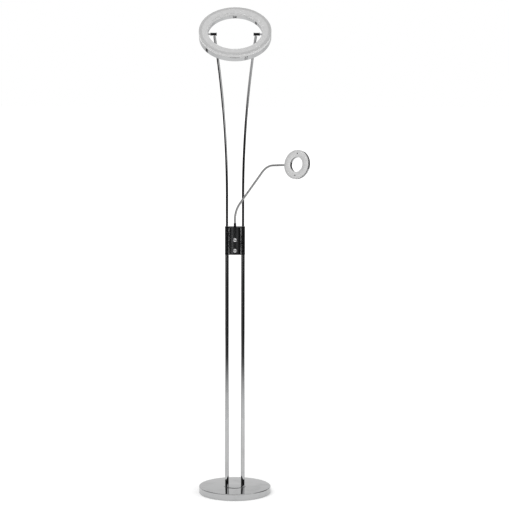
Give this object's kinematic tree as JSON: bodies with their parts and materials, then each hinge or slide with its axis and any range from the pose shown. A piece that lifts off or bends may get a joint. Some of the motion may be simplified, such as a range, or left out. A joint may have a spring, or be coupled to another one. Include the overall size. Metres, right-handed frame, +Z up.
{
  "type": "floor lamp",
  "caption": "Torchiere floor lamp: round base, twin poles bowing out to a tilting light ring, control box with dimmer knobs, and a flexible arm with a ring-shaped reading light.",
  "frame": {"origin": "centre of the base pad's underside, on the floor", "axes": "+Z up, -Y to the front where the knobs are, +X to the right, where the reading arm reaches"},
  "size_m": [0.4049, 0.2794, 1.8008],
  "materials": {
    "chrome": "polished chrome plating",
    "smoked_chrome": "dark polished chrome",
    "head_metal": "chrome plating",
    "clear_ring": "cloudy clear acrylic",
    "cast_iron": "painted casting",
    "foam": "closed-cell foam",
    "black_rubber": "matte",
    "steel": "zinc plated",
    "black_metal": "gloss black",
    "black_screws": "blackened",
    "flex_steel": "fine-ribbed metal hose",
    "led_board": "white solder mask",
    "led": "phosphor",
    "circuit_board": "green solder mask",
    "white_plastic": "moulded",
    "lead_sheath": "matte"
  },
  "bodies": {
    "stand": {"arm_ferrule": "black_metal", "arm_link_1": "flex_steel", "arm_nut": "steel", "back_cover": "black_metal", "back_cover_screws": "black_screws", "base_cover": "chrome", "base_pad": "foam", "base_weight": "cast_iron", "bottom_cap": "smoked_chrome", "control_housing": "smoked_chrome", "cord_gland": "black_rubber", "dimmer_board": "circuit_board", "dimmer_lower": "steel", "dimmer_nuts": "steel", "dimmer_upper": "steel", "foot_inserts": "steel", "foot_nipples": "steel", "foot_nuts": "steel", "foot_plate": "chrome", "foot_washers": "steel", "head_lead_left": "lead_sheath", "head_lead_right": "lead_sheath", "knuckle_left": "black_metal", "knuckle_right": "black_metal", "led_driver": "white_plastic", "lower_pole_left": "chrome", "lower_pole_right": "chrome", "pole_coupler_left": "steel", "pole_coupler_right": "steel", "pole_plugs": "steel", "pole_top_inserts": "steel", "terminal_block": "white_plastic", "top_cap": "smoked_chrome", "upper_pole_left": "chrome", "upper_pole_right": "chrome"},
    "head": {"head_housing": "head_metal", "head_led_board": "led_board", "head_leds": "led", "head_lens": "clear_ring", "head_screws": "black_screws", "head_seam_plate": "head_metal", "pivot_pin_left": "steel", "pivot_pin_right": "steel", "pivot_nuts": "steel", "pivot_washers": "steel"},
    "upper_knob": {"knob_upper": "chrome", "dimmer_shaft_upper": "steel"},
    "lower_knob": {"knob_lower": "chrome", "dimmer_shaft_lower": "steel"},
    "arm_lower": {"arm_link_2": "flex_steel"},
    "arm_middle": {"arm_link_3": "flex_steel"},
    "arm_upper": {"arm_link_4": "flex_steel"},
    "arm_tip": {"arm_link_5": "flex_steel", "swivel_pin": "steel"},
    "reading_head": {"reading_housing": "head_metal", "reading_led_board": "led_board", "reading_leds": "led", "reading_lens": "clear_ring", "reading_screws": "black_screws"}
  },
  "joints": [
    {"name": "head_tilt", "type": "hinge", "parent": "stand", "child": "head", "pos_m": [0, 0, 1.702], "axis": [1, 0, 0], "range_deg": [-101, 19]},
    {"name": "upper_knob_turn", "type": "hinge", "parent": "stand", "child": "upper_knob", "pos_m": [0, -0.023, 0.953], "axis": [0, 1, 0], "range_deg": [0, 290]},
    {"name": "lower_knob_turn", "type": "hinge", "parent": "stand", "child": "lower_knob", "pos_m": [0, -0.023, 0.9135], "axis": [0, 1, 0], "range_deg": [0, 290]},
    {"name": "arm_sway", "type": "hinge", "parent": "stand", "child": "arm_lower", "pos_m": [0, -0.01, 1.02093], "axis": [0, 1, 0], "range_deg": [-40, 40]},
    {"name": "arm_nod", "type": "hinge", "parent": "arm_lower", "child": "arm_middle", "pos_m": [0.02353, -0.01303, 1.09353], "axis": [1, 0, 0], "range_deg": [-10, 40]},
    {"name": "arm_elbow", "type": "hinge", "parent": "arm_middle", "child": "arm_upper", "pos_m": [0.08082, -0.02041, 1.17516], "axis": [0, 1, 0], "range_deg": [-40, 40]},
    {"name": "arm_wrist", "type": "hinge", "parent": "arm_upper", "child": "arm_tip", "pos_m": [0.14769, -0.04766, 1.22862], "axis": [0, 0, 1], "range_deg": [-40, 40]},
    {"name": "reading_twist", "type": "hinge", "parent": "arm_tip", "child": "reading_head", "pos_m": [0.18324, -0.07349, 1.2316], "axis": [0.8072, -0.5864, 0.0677], "range_deg": [-90, 90]}
  ]
}
